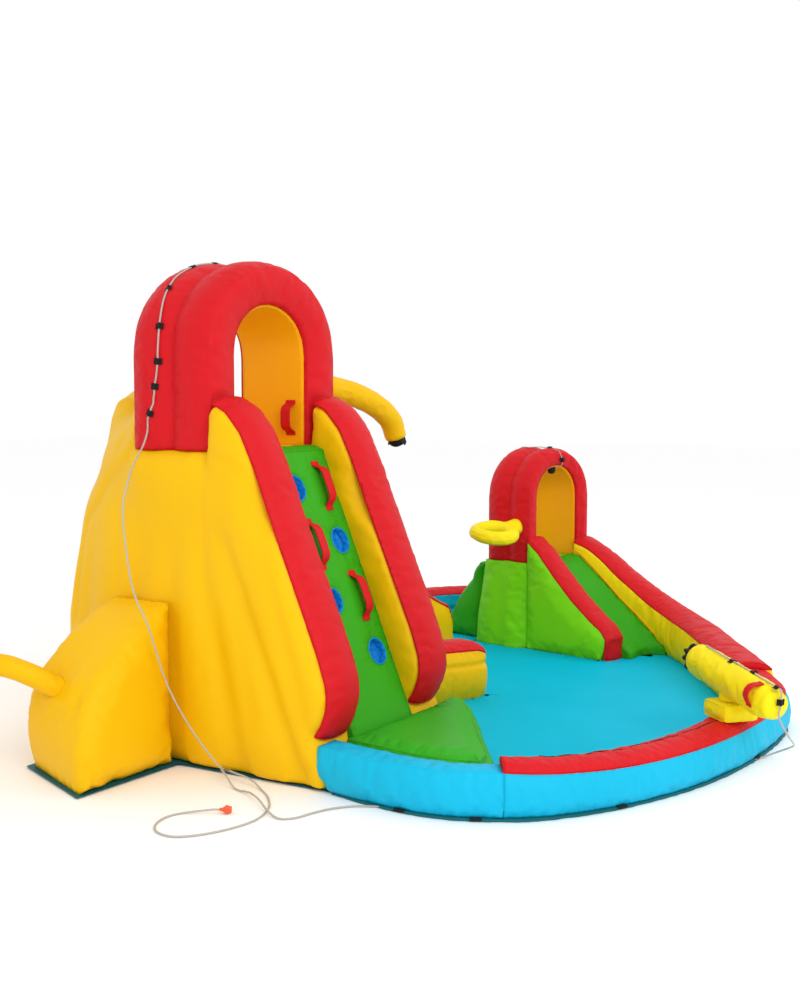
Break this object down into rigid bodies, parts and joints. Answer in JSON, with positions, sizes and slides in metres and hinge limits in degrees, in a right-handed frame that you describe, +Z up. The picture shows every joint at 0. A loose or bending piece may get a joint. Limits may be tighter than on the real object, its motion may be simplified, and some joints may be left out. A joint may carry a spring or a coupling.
{
  "type": "inflatable water slide",
  "caption": "Blown-up water play centre: climbing tower with arched hood, long rear slide, small hooded slide, splash pool, spray arm, water cannon, ball hoop and hoses.",
  "frame": {"origin": "on the ground, on the underside of the ground sheet below the middle of the pool", "axes": "+Z up; +X along the front from the climbing tower to the small slide, the longest way; +Y away from the climber, towards the back"},
  "size_m": [5.304, 3.9876, 2.4068],
  "materials": {
    "base_teal": "matte",
    "black": "matte",
    "clear": "gloss",
    "floor_blue": "satin",
    "green": "satin",
    "lime": "satin",
    "orange": "gloss",
    "pad_green": "satin",
    "pocket_blue": "satin",
    "red": "satin",
    "wall_blue": "satin",
    "yellow": "satin"
  },
  "bodies": {
    "slide": {"air_tube": "yellow", "basket_hoop": "yellow", "big_hood": "red", "big_slide_band_far": "red", "big_slide_band_near": "red", "big_slide_bolster_far": "yellow", "big_slide_bolster_near": "yellow", "big_slide_lane": "green", "buttress": "yellow", "cannon_base": "yellow", "climb_band_left": "red", "climb_band_right": "red", "climb_bolster_left": "yellow", "climb_bolster_right": "yellow", "climb_handle_1": "red", "climb_handle_2": "red", "climb_handle_3": "red", "climbing_panel": "green", "connector_body": "orange", "divider": "yellow", "divider_band": "red", "foot_pocket_1": "pocket_blue", "foot_pocket_2": "pocket_blue", "foot_pocket_3": "pocket_blue", "foot_pocket_4": "pocket_blue", "ground_sheet": "base_teal", "hood_handle": "red", "hood_hose": "clear", "hood_lining": "yellow", "hose_branch": "clear", "hose_drop": "clear", "hose_inlet": "clear", "hose_tee": "clear", "landing_pad": "pad_green", "pool_band_front": "red", "pool_band_rear": "red", "pool_band_right": "red", "pool_floor": "floor_blue", "pool_wall_front": "wall_blue", "pool_wall_left": "wall_blue", "pool_wall_rear": "wall_blue", "pool_wall_right": "yellow", "rear_deck_wall": "yellow", "rear_handle": "red", "small_band_left": "red", "small_bolster_left": "lime", "small_climb_ramp": "green", "small_hood": "red", "small_hood_lining": "yellow", "small_slide_lane": "green", "small_sprinkler": "black", "small_tower_body": "lime", "spray_arm": "yellow", "spray_rose": "black", "tower_body": "yellow"},
    "cannon": {"cannon_barrel": "yellow", "cannon_rose": "black", "cannon_handle": "red", "cannon_hose": "clear"},
    "collar": {"connector_collar": "orange"}
  },
  "joints": [
    {"name": "cannon_pan", "type": "hinge", "parent": "slide", "child": "cannon", "pos_m": [-0.48, -1.63, 0.2946], "axis": [0, 0, 1], "range_deg": [-15, 15]},
    {"name": "collar_spin", "type": "hinge", "parent": "slide", "child": "collar", "pos_m": [-2.372, -0.07, 0.0183], "axis": [0.5524, -0.8336, 0], "continuous": true}
  ]
}
